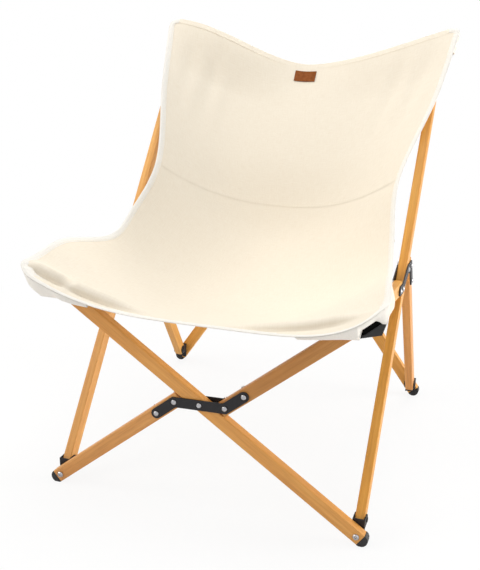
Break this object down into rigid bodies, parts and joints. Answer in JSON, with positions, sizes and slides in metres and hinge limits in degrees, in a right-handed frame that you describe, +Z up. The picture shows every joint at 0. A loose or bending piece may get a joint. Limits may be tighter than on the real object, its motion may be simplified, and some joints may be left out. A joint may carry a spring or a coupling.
{
  "type": "folding sling chair",
  "caption": "Low folding lounge chair: wooden bars crossed in scissor pairs on black hinge brackets carry a bound canvas sling with corner pockets.",
  "frame": {"origin": "middle of the chair's footprint box, on the floor", "axes": "+Z up, -Y to the front where the sitter faces, +X to the right for someone who looks at the chair's front"},
  "size_m": [0.6174, 0.6788, 0.7812],
  "materials": {
    "wood": "clear lacquered hardwood, satin",
    "black_steel": "black powder coat, satin",
    "zinc_steel": "zinc plated, bright",
    "black_plastic": "moulded, matte",
    "canvas": "plain weave heavy canvas, undyed",
    "binding": "folded tape, sewn",
    "leather": "plain brown patch"
  },
  "bodies": {
    "right_post": {"right_post": "wood", "right_post_plug": "black_plastic", "sling_hood_right": "canvas", "sling_back": "canvas", "sling_seat": "canvas", "sling_binding": "binding", "sling_label": "leather"},
    "right_arm": {"right_leg": "wood", "right_seat_arm": "wood", "right_leg_plug": "black_plastic", "right_hub_plate_outer": "black_steel", "right_hub_plate_inner": "black_steel", "right_hub_pivot": "zinc_steel", "sling_sleeve_right": "canvas"},
    "left_arm": {"left_leg": "wood", "left_seat_arm": "wood", "left_leg_plug": "black_plastic", "left_hub_plate_outer": "black_steel", "left_hub_plate_inner": "black_steel", "left_hub_pivot": "zinc_steel", "sling_sleeve_left": "canvas"},
    "left_post": {"left_post": "wood", "left_post_plug": "black_plastic", "sling_hood_left": "canvas"},
    "front_straight": {"front_bar_straight": "wood", "front_bolt_lower_right": "zinc_steel", "front_bolt_upper_left": "zinc_steel", "front_foot_cap_right": "black_plastic", "seat_corner_shoe_left": "black_plastic"},
    "front_split": {"front_bar_lower_half": "wood", "front_bar_upper_half": "wood", "front_hub_plate_outer": "black_steel", "front_hub_plate_inner": "black_steel", "front_hub_pivot": "zinc_steel", "front_bolt_lower_left": "zinc_steel", "front_bolt_upper_right": "zinc_steel", "front_foot_cap_left": "black_plastic", "seat_corner_shoe_right": "black_plastic"},
    "rear_straight": {"rear_bar_straight": "wood", "rear_bolt_lower_right": "zinc_steel", "rear_bolt_upper_left": "zinc_steel", "rear_foot_cap_right": "black_plastic"},
    "rear_split": {"rear_bar_lower_half": "wood", "rear_bar_upper_half": "wood", "rear_hub_plate_outer": "black_steel", "rear_hub_plate_inner": "black_steel", "rear_hub_pivot": "zinc_steel", "rear_bolt_lower_left": "zinc_steel", "rear_bolt_upper_right": "zinc_steel", "rear_foot_cap_left": "black_plastic"},
    "bracket_front_foot_right": {"bracket_front_foot_right": "black_steel"},
    "bracket_front_foot_left": {"bracket_front_foot_left": "black_steel"},
    "bracket_seat_corner_right": {"bracket_seat_corner_right": "black_steel"},
    "bracket_seat_corner_left": {"bracket_seat_corner_left": "black_steel"},
    "bracket_rear_foot_right": {"bracket_rear_foot_right": "black_steel"},
    "bracket_rear_foot_left": {"bracket_rear_foot_left": "black_steel"},
    "bracket_back_top_right": {"bracket_back_top_right": "black_steel"},
    "bracket_back_top_left": {"bracket_back_top_left": "black_steel"}
  },
  "joints": [
    {"name": "fold", "type": "hinge", "parent": "right_post", "child": "right_arm", "pos_m": [0.272, 0.00288, 0.37384], "axis": [-1, 0, 0], "range_deg": [0, 68], "deforming": ["sling_back", "sling_seat", "sling_binding", "sling_label"]},
    {"name": "seat_corner_right", "type": "hinge", "parent": "right_arm", "child": "bracket_seat_corner_right", "pos_m": [0.272, -0.26547, 0.38948], "axis": [-1, 0, 0], "range_deg": [-51.83, 0]},
    {"name": "front_swing", "type": "hinge", "parent": "bracket_seat_corner_right", "child": "front_split", "pos_m": [0.272, -0.29118, 0.39024], "axis": [0, -0.9996, 0.0297], "range_deg": [0, 42.47]},
    {"name": "front_cross", "type": "hinge", "parent": "front_split", "child": "front_straight", "pos_m": [0, -0.29673, 0.20339], "axis": [0, -0.9996, 0.0297], "range_deg": [-84.94, 0]},
    {"name": "front_swing_left", "type": "hinge", "parent": "front_straight", "child": "bracket_seat_corner_left", "pos_m": [-0.272, -0.29118, 0.39024], "axis": [0, -0.9996, 0.0297], "range_deg": [0, 42.47]},
    {"name": "seat_corner_left", "type": "hinge", "parent": "bracket_seat_corner_left", "child": "left_arm", "pos_m": [-0.272, -0.26547, 0.38948], "axis": [-1, 0, 0], "range_deg": [0, 51.83]},
    {"name": "left_fold", "type": "hinge", "parent": "left_arm", "child": "left_post", "pos_m": [-0.272, 0.00288, 0.37384], "axis": [-1, 0, 0], "range_deg": [-68, 0]},
    {"name": "front_foot_right", "type": "hinge", "parent": "right_post", "child": "bracket_front_foot_right", "pos_m": [0.272, -0.27615, 0.02976], "axis": [-1, 0, 0], "range_deg": [0, 16.17]},
    {"name": "front_foot_left", "type": "hinge", "parent": "left_post", "child": "bracket_front_foot_left", "pos_m": [-0.272, -0.27615, 0.02976], "axis": [-1, 0, 0], "range_deg": [0, 16.17]},
    {"name": "rear_foot_right", "type": "hinge", "parent": "right_arm", "child": "bracket_rear_foot_right", "pos_m": [0.272, 0.23435, 0.03511], "axis": [-1, 0, 0], "range_deg": [-36.37, 0]},
    {"name": "rear_swing", "type": "hinge", "parent": "bracket_rear_foot_right", "child": "rear_straight", "pos_m": [0.272, 0.25879, 0.01897], "axis": [0, 0.9964, -0.085], "range_deg": [0, 27.77]},
    {"name": "rear_cross", "type": "hinge", "parent": "rear_straight", "child": "rear_split", "pos_m": [0, 0.28915, 0.37473], "axis": [0, 0.9964, -0.085], "range_deg": [-55.53, 0]},
    {"name": "rear_foot_left", "type": "hinge", "parent": "left_arm", "child": "bracket_rear_foot_left", "pos_m": [-0.272, 0.23435, 0.03511], "axis": [-1, 0, 0], "range_deg": [-36.37, 0]},
    {"name": "back_top_right", "type": "hinge", "parent": "right_post", "child": "bracket_back_top_right", "pos_m": [0.272, 0.29388, 0.73268], "axis": [-1, 0, 0], "range_deg": [0, 31.63]},
    {"name": "back_top_left", "type": "hinge", "parent": "left_post", "child": "bracket_back_top_left", "pos_m": [-0.272, 0.29388, 0.73268], "axis": [-1, 0, 0], "range_deg": [0, 31.63]}
  ],
  "couplings": [
    {"joint": "seat_corner_right", "follows": "fold", "ratio": -0.76226},
    {"joint": "front_swing", "follows": "fold", "ratio": 0.62453},
    {"joint": "front_cross", "follows": "fold", "ratio": -1.2491},
    {"joint": "front_swing_left", "follows": "fold", "ratio": 0.62453},
    {"joint": "seat_corner_left", "follows": "fold", "ratio": 0.76226},
    {"joint": "left_fold", "follows": "fold", "ratio": -1},
    {"joint": "front_foot_right", "follows": "fold", "ratio": 0.23774},
    {"joint": "front_foot_left", "follows": "fold", "ratio": 0.23774},
    {"joint": "rear_foot_right", "follows": "fold", "ratio": -0.53487},
    {"joint": "rear_swing", "follows": "fold", "ratio": 0.4083},
    {"joint": "rear_cross", "follows": "fold", "ratio": -0.8166},
    {"joint": "rear_foot_left", "follows": "fold", "ratio": -0.53487},
    {"joint": "back_top_right", "follows": "fold", "ratio": 0.46514},
    {"joint": "back_top_left", "follows": "fold", "ratio": 0.46514}
  ]
}
